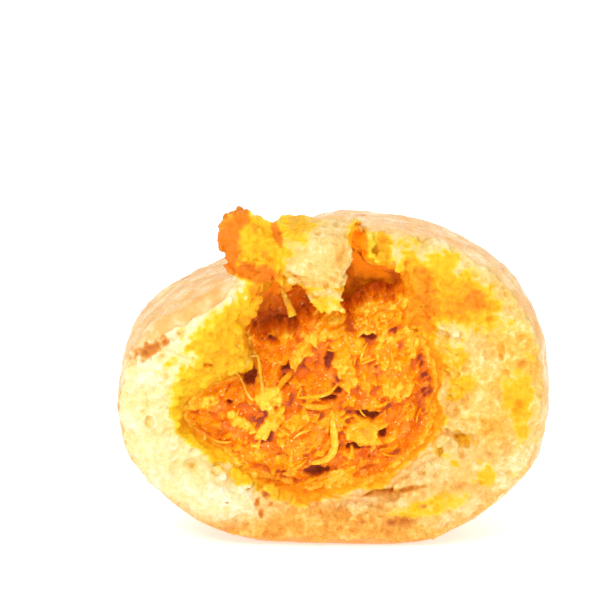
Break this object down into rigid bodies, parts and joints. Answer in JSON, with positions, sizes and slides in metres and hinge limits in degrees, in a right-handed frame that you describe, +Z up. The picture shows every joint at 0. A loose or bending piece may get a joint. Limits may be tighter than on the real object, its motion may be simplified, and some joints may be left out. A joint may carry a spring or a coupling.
{
  "type": "chicken cheese bread bun",
  "caption": "Round cheese bread bun torn open in front, with crumb walls, a flat base, a hanging scrap of dough and crust, and a heap of shredded chicken in sauce inside.",
  "frame": {"origin": "bottom centre of the object's box, on the surface it stands on", "axes": "+Z up, -Y out of the torn face towards the viewer, +X to the viewer's right"},
  "size_m": [0.0719, 0.0504, 0.0573],
  "materials": {
    "dough": "soft matt bread crumb and pale golden crust, slightly translucent",
    "chicken_filling": "moist orange sauce on shredded meat, soft gloss"
  },
  "bodies": {
    "root": {"dough": "dough", "chicken_filling": "chicken_filling"}
  },
  "joints": []
}
